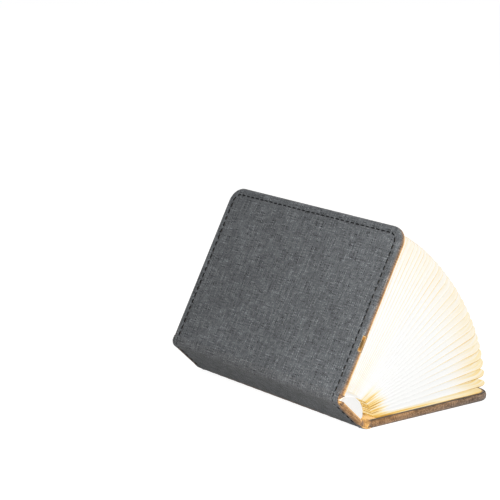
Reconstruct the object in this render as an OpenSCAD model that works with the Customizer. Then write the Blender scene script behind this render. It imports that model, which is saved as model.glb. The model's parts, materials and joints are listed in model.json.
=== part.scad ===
// Folding book lamp. Two cloth-covered boards are hinged to a spine, which carries
// a light bar, and a fan of pages opens between the boards and spreads its light.
// The back cover lies on z = 0 and the spine runs along y, with the tail of the
// book at -y and the head at +y. The origin is the middle of the back cover's
// outer face.

/* [Book] */
// Length of the covers, along the spine
book_l = 125; // [120:1:160]
// Width of each cover, from its hinge line to its fore-edge
cover_w = 86.5; // [84:0.5:110]
// Distance between the two hinge lines, the thickness of the closed book
book_t = 25; // [25:0.5:32]
// Thickness of each cover, cloth included
cover_t = 4; // [4:0.1:4.2]
// Thickness of the spine, cloth included
spine_t = 3; // [2.8:0.1:3.2]
// Radius of the covers' fore-edge corners
corner_r = 8; // [4:0.5:12]
// Thickness of the cloth
cloth_t = 0.5; // [0.4:0.05:0.6]
// Width of hinge cloth on each side of a hinge line
hinge_w = 4.4; // [4.4:0.1:5]

/* [Opening at rest] */
// How far the back hinge is open, where 0 is the closed book
back_open = 48; // [30:1:80]
// How far the front hinge is open, where 0 is the closed book
front_open = 15; // [8:1:40]

/* [Pages] */
// Pages that lean towards the back cover
back_pages = 18; // [12:1:18]
// Pages that lean towards the front cover
front_pages = 10; // [6:1:10]
// Thickness of a page, which is a folded double sheet
page_t = 0.3; // [0.2:0.05:0.35]
// Depth of the middle pages, from their inner folds to their outer folds
page_d = 75.9; // [60:0.1:76]
// How far the pages stop short of the covers at the head and the tail
page_inset = 1.5; // [1:0.5:3]

/* [Light bar] */
// Width of the diffuser across the spine
bar_w = 16; // [14:0.5:16]
// Radius of the diffuser's crown
bar_r = 9.6; // [9.2:0.1:12]
// Height of the diffuser's crown above the spine's outer face
bar_h = 8.8; // [8.4:0.1:9.2]
// Number of light chips
chip_count = 9; // [5:1:11]
// Distance between two light chips
chip_pitch = 11.5; // [9:0.5:11.5]

/* [Charging] */
// Distance of the charging socket's middle from the front hinge line
socket_z = 29.6; // [28:0.1:40]
// Width of the charging socket
socket_w = 7.5; // [7.4:0.1:8]
// Height of the charging socket
socket_h = 2.5; // [2.4:0.1:2.6]

/* [Stitching] */
// Distance of the stitch line from the covers' edges
stitch_inset = 3.5; // [3:0.1:5]
// Distance from one stitch to the next
stitch_pitch = 3.5; // [3:0.1:6]
// Length of a stitch
stitch_l = 2.4; // [1.5:0.1:2.8]

/* [Hidden] */
$fn = 64;
eps = 0.01;

page_count = back_pages + front_pages;
function page_name(k) = str("page_", k < 10 ? "0" : "", k);

half_l = book_l / 2;
board_half_l = half_l - cloth_t;
board_z0 = hinge_w + cloth_t;
board_z1 = cover_w - cloth_t;
turn_in = 12;                       // width of cloth glued over a board's inner face

groove_w = 1.0;                     // the stitch line lies in a shallow groove
groove_d = 0.3;
stitch_w = 0.6;

magnet_r = 4;
magnet_t = 1.5;
magnet_z = 77;
magnet_y = 50;
key_magnet_r = 2.5;                 // the magnet that works the fold switch

bar_zc = bar_h - bar_r;             // centre of the diffuser's crown
bar_wall = 1.2;
cap_t = 1.2;
bar_half_l = half_l - page_inset - cap_t;
cap_plug_l = 2;
binding_t = 0.4;
tray_half_l = 56;
tray_t = 0.8;
tray_lip_h = 0.8;
led_w = 10;
led_t = 1;
led_half_l = 49.5;
screw_y = 53;

pcb_y0 = -61;                       // control board, in the front cover's tail
pcb_y1 = -40;
pcb_z0 = 20;
pcb_z1 = 40;
pcb_x = 1.2;
pcb_t = 0.8;
room = 0.4;                         // room left round a part in its pocket
socket_d = 5.5;
socket_wall = 0.3;
tongue_t = 0.6;
switch_y = -45;
switch_z = 36;
battery_t = 2.6;
battery_y = [-24, 36];
battery_z = [14, 56];
lead_y = -46;                       // flat lead across the front hinge
lead_w = 4;
lead_t = 0.3;
lead_x = pcb_x + pcb_t;             // it lies on the control board's inner side
lead_end_z = pcb_z0 + 1;
lead_bend_z = 0.75 * hinge_w;
lead_dip_x = -(book_t + bar_w) / 2 + 1.4;   // where it starts to rise to the light board

// ---- places: each frame has z from its hinge line inwards or outwards along its board ----

// Back cover: z runs from the hinge line to the fore-edge, and x into the book
module in_back_cover() {
    translate([-cover_w / 2, 0, 0]) rotate([0, 90, 0]) mirror([1, 0, 0]) children();
}

// Spine: x runs from the front hinge line (-book_t) to the back one (0), z into the book
module in_spine() {
    translate([-cover_w / 2, 0, 0]) rotate([0, 90 - back_open, 0]) children();
}

// Front cover: as the back cover, on the other side of the book
module in_front_cover() {
    in_spine() translate([-book_t, 0, 0]) rotate([0, -front_open, 0]) children();
}

// ---- pages: where each one lies in the closed book, and how it turns ----

stack_margin = 0.9;                 // between a cover's inner face and the first page
fold_gap = 1.2;                     // between the diffuser and the pages' inner folds
pivot_h = 8;                        // height of the middle pages' hinge lines
pivot_bend = 0.6;                   // how far the hinge lines crowd towards the covers
fore_edge_even = 0.5;               // 0 curves the closed fore-edge as the diffuser, 1 makes it flat
page_corner_r = corner_r / 2;
end_leaf_inset = page_inset + 1;    // how far the glued leaves stop short of the fore-edges

function page_share(k) = k / (page_count + 1);
function page_u(k) =
    let (u0 = cover_t + stack_margin)
    u0 + (book_t - 2 * u0) * (k - 1) / (page_count - 1);
function page_z0(k) = bar_zc + sqrt(pow(bar_r + fold_gap, 2) - pow(page_u(k) - book_t / 2, 2));
function page_depth(k) = page_d + fore_edge_even * (bar_h + fold_gap - page_z0(k));
function pivot_u(k) =
    let (s = page_share(k))
    book_t * (pivot_bend * (1 - cos(180 * s)) / 2 + (1 - pivot_bend) * s);
function pivot_z(k) = pivot_h * sin(180 * page_share(k));
function page_turn(k) =
    k <= back_pages
        ? -back_open * (back_pages + 0.5 - k) / back_pages
        : front_open * (k - back_pages - 0.5) / front_pages;

// A page's own frame, turned about its hinge line as it is at rest
module in_page(k) {
    in_spine()
        translate([-pivot_u(k), 0, pivot_z(k)])
            rotate([0, -page_turn(k), 0])
                translate([pivot_u(k), 0, -pivot_z(k)])
                    children();
}

// ---- shared shapes ----

// Flat plate between x0 and x1, from z0 to z1, with its two corners at z1 rounded
module plate(x0, x1, z0, z1, half, r) {
    translate([x0, 0, 0]) rotate([0, 90, 0]) mirror([1, 0, 0])
        linear_extrude(x1 - x0) {
            translate([z0, -half]) square([z1 - r - z0, 2 * half]);
            translate([z0, -half + r]) square([z1 - z0, 2 * (half - r)]);
            for (side = [-1, 1])
                translate([z1 - r, side * (half - r)]) circle(r);
        }
}

// Block given by its two opposite corners
module block(low, high) {
    translate(low) cube(high - low);
}

// Outline in x and z, drawn out along y about the middle
module drawn_out(half, points) {
    rotate([90, 0, 0]) linear_extrude(2 * half, center = true) polygon(points);
}

// ---- stitch line: up the tail edge, along the fore-edge and back down the head edge ----

stitch_half = half_l - stitch_inset;
stitch_top = cover_w - stitch_inset;
stitch_r = corner_r - stitch_inset;
stitch_run = stitch_top - stitch_r - hinge_w;
stitch_bend = PI * stitch_r / 2;
stitch_edge = 2 * (stitch_half - stitch_r);
stitch_path = 2 * stitch_run + 2 * stitch_bend + stitch_edge;
stitch_count = floor(stitch_path / stitch_pitch);

// [y, z, direction in degrees from +z towards +y] at distance s along the line
function stitch_at(s) =
    let (a = stitch_run, b = a + stitch_bend, c = b + stitch_edge, d = c + stitch_bend)
    s < a ? [-stitch_half, hinge_w + s, 0]
    : s < b ? stitch_corner(-1, 90 * (s - a) / stitch_bend)
    : s < c ? [-stitch_half + stitch_r + s - b, stitch_top, 90]
    : s < d ? stitch_corner(1, 90 * (s - c) / stitch_bend)
    : [stitch_half, stitch_top - stitch_r - (s - d), 180];
function stitch_corner(side, turn) =
    let (around = side < 0 ? turn : 90 + turn)
    [side * (stitch_half - stitch_r) - stitch_r * cos(around),
     stitch_top - stitch_r + stitch_r * sin(around), around];

module cover_stitching() {
    for (i = [0:stitch_count - 1])
        let (at = stitch_at((i + 0.5) * stitch_path / stitch_count))
        translate([0, at[0], at[1]]) rotate([-at[2], 0, 0])
            block([0, -stitch_w / 2, -stitch_l / 2], [groove_d, stitch_w / 2, stitch_l / 2]);
}

module stitch_groove() {
    wide = groove_w / 2;
    difference() {
        plate(-1, groove_d, hinge_w - 1, stitch_top + wide, stitch_half + wide, stitch_r + wide);
        plate(-2, 1, hinge_w - 2, stitch_top - wide, stitch_half - wide, stitch_r - wide);
    }
}

// ---- cover pieces, drawn once and used in both covers ----

module cover_cloth() {
    difference() {
        plate(0, cover_t, hinge_w, cover_w, half_l, corner_r);
        plate(cloth_t, cover_t - cloth_t, board_z0, board_z1, board_half_l, corner_r - cloth_t);
        plate(cover_t - cloth_t - eps, cover_t + 1, hinge_w - 1, cover_w - turn_in,
              half_l - turn_in, 1);
        stitch_groove();
    }
}

module cover_board() {
    plate(cloth_t, cover_t - cloth_t, board_z0, board_z1, board_half_l, corner_r - cloth_t);
}

// Sheet that fills the space between the turned-in cloth
module cover_lining() {
    plate(cover_t - cloth_t, cover_t, hinge_w, cover_w - turn_in, half_l - turn_in, 1);
}

module end_leaf() {
    plate(cover_t, cover_t + page_t, 2 * hinge_w, cover_w - end_leaf_inset,
          half_l - page_inset, corner_r - page_inset);
}

module disc(r, t) {
    rotate([0, 90, 0]) cylinder(r = r, h = t);
}

module cover_magnets(r = magnet_r) {
    for (side = [-1, 1])
        translate([cloth_t + 0.5, side * magnet_y, magnet_z]) disc(r, magnet_t);
}

module key_magnet(r = key_magnet_r) {
    translate([cloth_t + 0.5, switch_y, switch_z]) disc(r, magnet_t);
}

// Cloth folded over a hinge line that is open by the angle given
module hinge_cloth(open) {
    inside = 90 + open;
    corner = cloth_t / sin(inside / 2);
    along = [sin(inside), cos(inside)];
    inward = [-cos(inside), sin(inside)];
    drawn_out(half_l, [
        [0, hinge_w],
        [0, 0],
        along * hinge_w,
        along * hinge_w + inward * cloth_t,
        [corner * sin(inside / 2), corner * cos(inside / 2)],
        [cloth_t, hinge_w]]);
}

// ---- back cover ----

module back_cover_board() {
    color("#8a7a62") in_back_cover() difference() {
        cover_board();
        cover_magnets(magnet_r + 0.1);
        key_magnet(key_magnet_r + 0.1);
    }
}

module back_cover_cloth() {
    color("#5f6468") in_back_cover() cover_cloth();
}

module back_cover_lining() {
    color("#3b3d3f") in_back_cover() cover_lining();
}

module back_cover_magnets() {
    color("#b9bcc0") in_back_cover() {
        cover_magnets();
        key_magnet();
    }
}

module back_cover_stitching() {
    color("#1d1f21") in_back_cover() cover_stitching();
}

module back_end_leaf() {
    color("#f7ead2") in_back_cover() end_leaf();
}

module back_hinge_cloth() {
    color("#6b5c4e") in_back_cover() hinge_cloth(back_open);
}

// ---- spine ----

spine_x0 = -book_t + hinge_w;
spine_x1 = -hinge_w;
spine_xc = -book_t / 2;
row_inset = 2.2;                    // from the spine's edge to its first stitch

module spine_board() {
    color("#8a7a62") in_spine() difference() {
        block([spine_x0 + cloth_t, -board_half_l, cloth_t],
              [spine_x1 - cloth_t, board_half_l, spine_t - cloth_t]);
        for (side = [-1, 1])
            translate([spine_xc, side * screw_y, cloth_t + 0.4]) cylinder(r = 0.8, h = spine_t);
    }
}

module spine_cloth() {
    color("#5f6468") in_spine() difference() {
        block([spine_x0, -half_l, 0], [spine_x1, half_l, spine_t]);
        block([spine_x0 + cloth_t, -board_half_l, cloth_t],
              [spine_x1 - cloth_t, board_half_l, spine_t - cloth_t]);
        for (side = [-1, 1]) {
            translate([spine_xc, side * screw_y, spine_t - 1]) cylinder(r = 0.8, h = 2);
            translate([0, side * stitch_half, 0])
                block([spine_x0 - 1, -groove_w / 2, -1], [spine_x1 + 1, groove_w / 2, groove_d]);
        }
    }
}

module spine_stitching() {
    row = spine_x1 - spine_x0 - 2 * row_inset;
    count = round(row / stitch_pitch) + 1;
    color("#1d1f21") in_spine()
        for (side = [-1, 1], i = [0:count - 1])
            translate([spine_x0 + row_inset + row * i / (count - 1), side * stitch_half, 0])
                block([-stitch_l / 2, -stitch_w / 2, 0], [stitch_l / 2, stitch_w / 2, groove_d]);
}

// ---- light bar on the spine ----

lead_slot_w = lead_w + 1;
tray_z1 = spine_t + tray_t;
tray_room = 0.1;                    // between the tray's lips and the diffuser
tray_half_w = -tray_room + min(
    bar_w / 2 - bar_wall,
    sqrt(pow(bar_r - bar_wall, 2) - pow(tray_z1 + tray_lip_h - bar_zc, 2)));

module led_tray() {
    color("#c4c7ca") in_spine() difference() {
        block([spine_xc - tray_half_w, -tray_half_l, spine_t],
              [spine_xc + tray_half_w, tray_half_l, tray_z1 + tray_lip_h]);
        block([spine_xc - tray_half_w + tray_t, -tray_half_l - 1, tray_z1],
              [spine_xc + tray_half_w - tray_t, tray_half_l + 1, tray_z1 + 5]);
        block([spine_xc - tray_half_w - 1, lead_y - lead_slot_w / 2, spine_t - 1],
              [spine_xc - led_w / 2 - 0.1, lead_y + lead_slot_w / 2, tray_z1 + 5]);
        for (side = [-1, 1])
            translate([spine_xc, side * screw_y, spine_t - 1]) cylinder(r = 0.9, h = 3);
    }
}

module led_board() {
    color("#e9ebe6") in_spine()
        block([spine_xc - led_w / 2, -led_half_l, tray_z1],
              [spine_xc + led_w / 2, led_half_l, tray_z1 + led_t]);
}

module led_chips() {
    chip = [2.8, 3.5, 0.8];
    color("#f2d878") in_spine()
        for (i = [0:chip_count - 1])
            translate([spine_xc, (i - (chip_count - 1) / 2) * chip_pitch, tray_z1 + led_t])
                difference() {
                    translate([-chip[0] / 2, -chip[1] / 2, 0]) cube(chip);
                    translate([0, 0, 0.5]) cylinder(r = 1.1, h = 1);
                }
}

module tray_screws() {
    color("#9da1a6") in_spine()
        for (side = [-1, 1])
            translate([spine_xc, side * screw_y, 0]) difference() {
                union() {
                    translate([0, 0, cloth_t + 0.4]) cylinder(r = 0.7, h = tray_z1 - cloth_t - 0.4);
                    translate([0, 0, tray_z1]) cylinder(r = 1.5, h = 0.6);
                }
                for (turn = [0, 90])
                    rotate([0, 0, turn]) block([-1, -0.15, tray_z1 + 0.3], [1, 0.15, tray_z1 + 1]);
            }
}

// Cross-section of the light bar, smaller all round by the inset given
module bar_section(inset) {
    intersection() {
        translate([0, bar_zc]) circle(r = bar_r - inset, $fn = 128);
        translate([-bar_w / 2 + inset, spine_t])
            square([bar_w - 2 * inset, bar_h]);
    }
}

// Stands the section up on the spine, from y0 to y1
module bar_length(y0, y1) {
    translate([spine_xc, y1, 0]) rotate([90, 0, 0]) linear_extrude(y1 - y0) children();
}

module diffuser() {
    color("#f4f2ec") in_spine() difference() {
        bar_length(-bar_half_l, bar_half_l) bar_section(0);
        bar_length(-bar_half_l - 1, bar_half_l + 1) translate([0, -eps]) bar_section(bar_wall);
        block([spine_xc - bar_w, lead_y - lead_slot_w / 2, spine_t - 1],
              [spine_xc, lead_y + lead_slot_w / 2, spine_t + 0.5]);
    }
}

// Cap that closes one end of the diffuser, with a plug that sits inside it
module end_cap(side) {
    y0 = bar_half_l;
    plug = bar_wall + 0.1;
    in_spine() mirror([0, side < 0 ? 1 : 0, 0]) {
        bar_length(y0, y0 + cap_t) bar_section(0);
        bar_length(y0 - cap_plug_l, y0) bar_section(plug);
    }
}

module tail_end_cap() {
    color("#efeeea") end_cap(-1);
}

module head_end_cap() {
    color("#efeeea") end_cap(1);
}

// Curved strip on the diffuser that the pages' inner folds are bound to
module page_binding() {
    reach = bar_w / 2 - 0.6;
    color("#fbf3df") in_spine() bar_length(-bar_half_l, bar_half_l)
        intersection() {
            difference() {
                translate([0, bar_zc]) circle(r = bar_r + binding_t, $fn = 128);
                translate([0, bar_zc]) circle(r = bar_r, $fn = 128);
            }
            translate([-reach, spine_t]) square([2 * reach, bar_h]);
        }
}

// Flat lead from the control board, over the front hinge, to the light bar
module lamp_lead() {
    under = spine_t + 0.1;
    over = under + lead_t;
    end_x = spine_xc - led_w / 2;
    color("#c98a3a") translate([0, lead_y, 0]) in_spine() drawn_out(lead_w / 2, [
        in_cover_section(lead_x, lead_end_z),
        in_cover_section(lead_x, lead_bend_z),
        [spine_x0 + 0.2, under],
        [lead_dip_x + 0.2, under],
        [end_x, tray_z1 + 0.4],
        [end_x, tray_z1 + 0.8],
        [lead_dip_x, over],
        [spine_x0 + 0.4, over],
        in_cover_section(lead_x + lead_t, lead_bend_z),
        in_cover_section(lead_x + lead_t, lead_end_z)]);
}

// Point of the front cover's section, in the spine's section
function in_cover_section(x, z) =
    [-book_t + x * cos(front_open) - z * sin(front_open),
     x * sin(front_open) + z * cos(front_open)];

// ---- front cover ----

socket_x0 = (cover_t - socket_h) / 2;
pcb_window = [[pcb_y0 - 2, pcb_z0 - room], [pcb_y1 + room, pcb_z1 + room]];
lead_channel_w = lead_w + 2 * room;

module front_hinge_cloth() {
    color("#6b5c4e") in_front_cover() hinge_cloth(front_open);
}

// Board with windows for the control board and the battery, and channels for the leads
module front_cover_board() {
    color("#8a7a62") in_front_cover() difference() {
        cover_board();
        cover_magnets(magnet_r + 0.1);
        block([0, pcb_window[0][0], pcb_window[0][1]], [cover_t, pcb_window[1][0], pcb_window[1][1]]);
        block([0, battery_y[0] - room, battery_z[0] - room],
              [cover_t, battery_y[1] + room, battery_z[1] + room]);
        block([1, pcb_y1 - 1, 28], [cover_t, battery_y[0] + 1, 34]);
        block([lead_x - room, lead_y - lead_channel_w / 2, 0],
              [cover_t, lead_y + lead_channel_w / 2, lead_end_z]);
    }
}

module front_cover_cloth() {
    hole_w = socket_w + 0.6;
    hole_h = socket_h + 0.4;
    color("#5f6468") in_front_cover() difference() {
        cover_cloth();
        block([(cover_t - hole_h) / 2, -half_l - 1, socket_z - hole_w / 2],
              [(cover_t + hole_h) / 2, -half_l + 1, socket_z + hole_w / 2]);
        block([lead_x - room, lead_y - lead_channel_w / 2, hinge_w - 1],
              [lead_x + lead_t + room, lead_y + lead_channel_w / 2, board_z0 + 1]);
    }
}

module front_cover_lining() {
    color("#3b3d3f") in_front_cover() cover_lining();
}

module front_cover_magnets() {
    color("#b9bcc0") in_front_cover() cover_magnets();
}

module front_cover_stitching() {
    color("#1d1f21") in_front_cover() cover_stitching();
}

module front_end_leaf() {
    color("#f7ead2") in_front_cover() end_leaf();
}

module battery_cell() {
    x0 = (cover_t - battery_t) / 2;
    seal = 1.5;                     // folded seam along the pouch's tail end
    color("#a9adb2") in_front_cover() union() {
        block([x0, battery_y[0] + seal, battery_z[0]], [x0 + battery_t, battery_y[1], battery_z[1]]);
        block([cover_t / 2 - 0.5, battery_y[0], battery_z[0] + 3],
              [cover_t / 2 + 0.5, battery_y[0] + seal, battery_z[1] - 3]);
    }
}

module battery_lead() {
    color("#b03a2e") in_front_cover()
        for (z = [30, 32])
            translate([cover_t / 2, pcb_y1, z]) rotate([-90, 0, 0])
                cylinder(r = 0.6, h = battery_y[0] - pcb_y1);
}

module control_board() {
    notch = socket_w + 0.2;
    color("#2f7a4b") in_front_cover() difference() {
        block([pcb_x, pcb_y0, pcb_z0], [pcb_x + pcb_t, pcb_y1, pcb_z1]);
        block([0, pcb_y0 - 1, socket_z - notch / 2],
              [cover_t, -half_l + cloth_t + socket_d + 0.1, socket_z + notch / 2]);
        for (z = [pcb_z0 + 2, pcb_z1 - 2])
            translate([0, pcb_y1 - 2, z]) disc(0.7, cover_t);
    }
}

// Folded metal shell, open towards the tail, with a tab on each side that sits on the board
module charge_socket() {
    y0 = -half_l + cloth_t;
    color("#c9ccd0") in_front_cover() {
        difference() {
            block([socket_x0, y0, socket_z - socket_w / 2],
                  [socket_x0 + socket_h, y0 + socket_d, socket_z + socket_w / 2]);
            block([socket_x0 + socket_wall, y0 - 1, socket_z - socket_w / 2 + socket_wall],
                  [socket_x0 + socket_h - socket_wall, y0 + socket_d - socket_wall,
                   socket_z + socket_w / 2 - socket_wall]);
        }
        for (side = [-1, 1])
            translate([pcb_x + pcb_t, y0 + 3, socket_z + side * (socket_w / 2 + 0.5)])
                translate([0, 0, -0.5]) cube([0.3, 2, 1]);
    }
}

module socket_tongue() {
    y1 = -half_l + cloth_t + socket_d - socket_wall;
    x0 = cover_t / 2 - tongue_t / 2;
    color("#26282a") in_front_cover()
        block([x0, y1 - 4.4, socket_z - 1.9], [x0 + tongue_t, y1, socket_z + 1.9]);
}

module fold_switch() {
    color("#1e2022") in_front_cover()
        block([pcb_x + pcb_t, switch_y - 1.5, switch_z - 0.8],
              [pcb_x + pcb_t + 1.1, switch_y + 1.5, switch_z + 0.8]);
}

// ---- pages ----

module page(k) {
    color(k % 2 == 0 ? "#fff6e2" : "#fdeecd") in_page(k)
        plate(-page_u(k) - page_t / 2, -page_u(k) + page_t / 2,
              page_z0(k), page_z0(k) + page_depth(k), half_l - page_inset, page_corner_r);
}

back_cover_board();
back_cover_cloth();
back_cover_lining();
back_cover_magnets();
back_cover_stitching();
back_end_leaf();
back_hinge_cloth();
spine_board();
spine_cloth();
spine_stitching();
led_tray();
led_board();
led_chips();
tray_screws();
diffuser();
tail_end_cap();
head_end_cap();
page_binding();
lamp_lead();
front_hinge_cloth();
front_cover_board();
front_cover_cloth();
front_cover_lining();
front_cover_magnets();
front_cover_stitching();
front_end_leaf();
battery_cell();
battery_lead();
control_board();
charge_socket();
socket_tongue();
fold_switch();
for (k = [1:page_count])
    page(k);
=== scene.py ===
import json
import math

import bmesh
import bpy
import numpy as np
from mathutils import Matrix, Vector

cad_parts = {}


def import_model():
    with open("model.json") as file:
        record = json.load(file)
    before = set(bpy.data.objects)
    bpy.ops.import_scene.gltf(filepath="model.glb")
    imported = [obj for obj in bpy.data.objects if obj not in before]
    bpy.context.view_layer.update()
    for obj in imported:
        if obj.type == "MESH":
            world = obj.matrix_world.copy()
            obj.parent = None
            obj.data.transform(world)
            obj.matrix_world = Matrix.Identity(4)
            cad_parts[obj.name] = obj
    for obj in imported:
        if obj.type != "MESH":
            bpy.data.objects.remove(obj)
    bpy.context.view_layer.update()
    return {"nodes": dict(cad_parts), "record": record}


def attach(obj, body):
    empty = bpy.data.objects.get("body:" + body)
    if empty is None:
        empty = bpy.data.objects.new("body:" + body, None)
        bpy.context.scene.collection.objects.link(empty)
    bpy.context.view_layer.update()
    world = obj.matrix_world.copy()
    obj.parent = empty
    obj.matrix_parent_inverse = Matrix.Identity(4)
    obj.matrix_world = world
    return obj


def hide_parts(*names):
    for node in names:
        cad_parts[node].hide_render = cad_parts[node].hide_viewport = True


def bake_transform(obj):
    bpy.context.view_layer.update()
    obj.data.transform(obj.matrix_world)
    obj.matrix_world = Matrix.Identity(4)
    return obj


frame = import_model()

# ---- the part's own sizes, in mm; geometry is built in mm and placed in metres ----

MM = 0.001
BOOK_L, COVER_W, BOOK_T = 125.0, 86.5, 25.0
COVER_T, SPINE_T, CLOTH_T = 4.0, 3.0, 0.5
CORNER_R, HINGE_W, TURN_IN = 8.0, 4.4, 12.0
PAGE_T, PAGE_D, PAGE_INSET, PAGE_CORNER_R = 0.3, 75.9, 1.5, 3.0
STACK_MARGIN = 0.9                  # between a cover's inner face and the first page
FORE_EDGE_EVEN = 0.5                # 0 curves the closed fore-edge as the diffuser, 1 makes it flat
PIVOT_H, PIVOT_BEND = 8.0, 0.6      # height of the middle pages' hinge lines, and how they crowd
CURL, CURL_L = 3.8, 6.5             # how far a page's outer fold curls, and how deep the curl is
END_LEAF_INSET = PAGE_INSET + 1
BAR_W, BAR_R, BAR_H, FOLD_GAP = 16.0, 9.6, 8.8, 1.2
CHIP_PITCH = 11.5
THREAD = 0.62                       # from one thread of the cloth to the next
INSET, PITCH, STITCH_L = 3.5, 3.5, 2.4
SPINE_STITCHES, ROW_INSET = 4, 2.2  # in the row across each end of the spine
HINGE_STITCH_L = 2.0
HINGE_TANGENT = 2.7                 # from the hinge line to where its cloth starts to bend
SOCKET_Z, SOCKET_W, SOCKET_H = 29.6, 7.5, 2.5
POCKET_D, POCKET_R = 6.2, 0.5
LEAD_X, LEAD_Y, LEAD_W, LEAD_T = 2.0, -46.0, 4.0, 0.3
FLOOR_Z = -0.24                     # just under the stitches on the back cover's outer face

HALF_L = BOOK_L / 2
PAGE_HALF = HALF_L - PAGE_INSET
BAR_ZC = BAR_H - BAR_R
SPINE_X0, SPINE_X1 = HINGE_W - BOOK_T, -HINGE_W
ROW_PITCH = (SPINE_X1 - SPINE_X0 - 2 * ROW_INSET) / (SPINE_STITCHES - 1)

# The openings at rest and the numbers of pages are read from the frame's joints
BEHAVIOUR = frame["record"]["behaviour"]
CLOSED = {joint["name"]: joint["range_deg"][0] for joint in BEHAVIOUR["joints"]}
FOLLOWED = [coupling["follows"] for coupling in BEHAVIOUR["couplings"]]
BACK_OPEN, FRONT_OPEN = -CLOSED["back_hinge"], -CLOSED["front_hinge"]
BACK_PAGES, FRONT_PAGES = FOLLOWED.count("back_hinge"), FOLLOWED.count("front_hinge")
PAGES = BACK_PAGES + FRONT_PAGES

# Fitted to the photo, in metres and degrees
CAMERA_PLACE = -0.6155, -0.6601, 0.2675
CAMERA_AZIMUTH, CAMERA_ELEVATION, CAMERA_ROLL = -39.79, 12.55, 1.46
CAMERA_LENS, CAMERA_SHIFT = 133.6, (0.0081, 0.0035)

LIGHTS_AIM = 0, 0, 0.04             # the lamp's middle, in metres
WORLD_LEVEL, FLOOR_LEVEL = 0.28, 0.90


def turn_y(degrees):
    return Matrix.Rotation(math.radians(degrees), 4, "Y")


# Cover frames have x into the book, y along the spine and z from the hinge line to the fore-edge
SPINE = Matrix.Translation((-COVER_W / 2, 0, 0)) @ turn_y(90 - BACK_OPEN)
FRONT = SPINE @ Matrix.Translation((-BOOK_T, 0, 0)) @ turn_y(-FRONT_OPEN)
BACK = Matrix.Translation((-COVER_W / 2, 0, 0)) @ turn_y(90) @ Matrix.Diagonal((-1, 1, 1, 1))


# ---- camera and light ----

def camera():
    data = bpy.data.cameras.new("camera")
    data.sensor_width = 36.0
    data.lens = CAMERA_LENS
    data.shift_x, data.shift_y = CAMERA_SHIFT
    data.clip_start, data.clip_end = 0.01, 20
    azimuth, elevation, roll = np.radians((CAMERA_AZIMUTH, CAMERA_ELEVATION, CAMERA_ROLL))
    back = Vector((math.sin(azimuth) * math.cos(elevation),
                   -math.cos(azimuth) * math.cos(elevation), math.sin(elevation)))
    right = Vector((math.cos(azimuth), math.sin(azimuth), 0))
    up = back.cross(right)
    right, up = (right * math.cos(roll) + up * math.sin(roll),
                 up * math.cos(roll) - right * math.sin(roll))
    turn = Matrix((right, up, back)).transposed().to_4x4()
    cam = bpy.data.objects.new("camera", data)
    cam.matrix_world = Matrix.Translation(CAMERA_PLACE) @ turn
    bpy.context.scene.collection.objects.link(cam)
    bpy.context.scene.camera = cam


def area_light(name, place, size, power, colour):
    data = bpy.data.lights.new(name, "AREA")
    data.shape = "DISK"
    data.size = size
    data.energy = power
    data.color = colour
    lamp = bpy.data.objects.new(name, data)
    lamp.location = place
    lamp.rotation_mode = "QUATERNION"
    lamp.rotation_quaternion = (Vector(LIGHTS_AIM) - Vector(place)).to_track_quat("-Z", "Y")
    bpy.context.scene.collection.objects.link(lamp)


# ---- materials: a small helper for node graphs ----

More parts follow.
